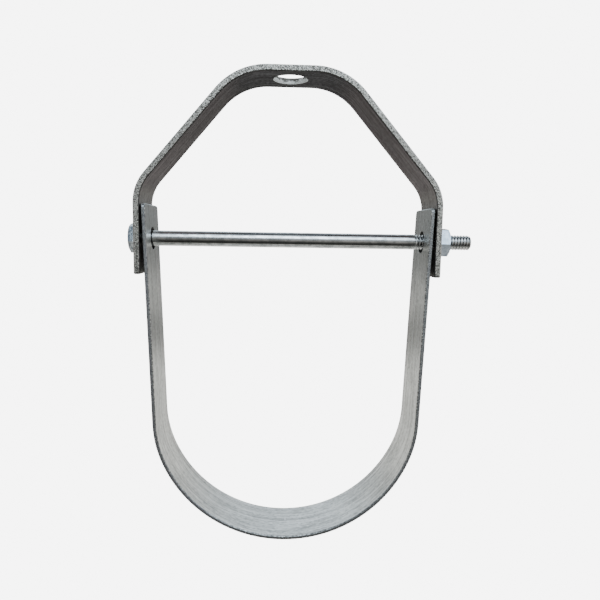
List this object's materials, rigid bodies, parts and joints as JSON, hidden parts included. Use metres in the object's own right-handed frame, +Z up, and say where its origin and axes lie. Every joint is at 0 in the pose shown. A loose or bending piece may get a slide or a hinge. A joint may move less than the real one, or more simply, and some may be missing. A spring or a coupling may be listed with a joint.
{
  "type": "clevis pipe hanger",
  "caption": "Clevis pipe hanger: a bent flat-bar yoke that hangs on a threaded rod, with a U-shaped strap that swings on a hexagon-headed cross bolt and cradles a pipe.",
  "frame": {"origin": "centre of the rod hole, at the underside of the yoke's flat top", "axes": "+Z up along the hanger rod, +X along the cross bolt towards its nut, +Y along the pipe"},
  "size_m": [0.143, 0.0254, 0.194],
  "materials": {
    "yoke_bar": "satin galvanised",
    "strap_bar": "satin galvanised, drawn lengthwise",
    "bolt": "bright zinc plate",
    "nut": "bright zinc plate"
  },
  "bodies": {
    "yoke": {"upper_yoke": "yoke_bar", "cross_bolt": "bolt", "hex_nut": "nut"},
    "strap": {"lower_strap": "strap_bar"}
  },
  "joints": [
    {"name": "strap_swing", "type": "hinge", "parent": "yoke", "child": "strap", "pos_m": [0, 0, -0.06505], "axis": [1, 0, 0], "range_deg": [-110, 110]}
  ]
}
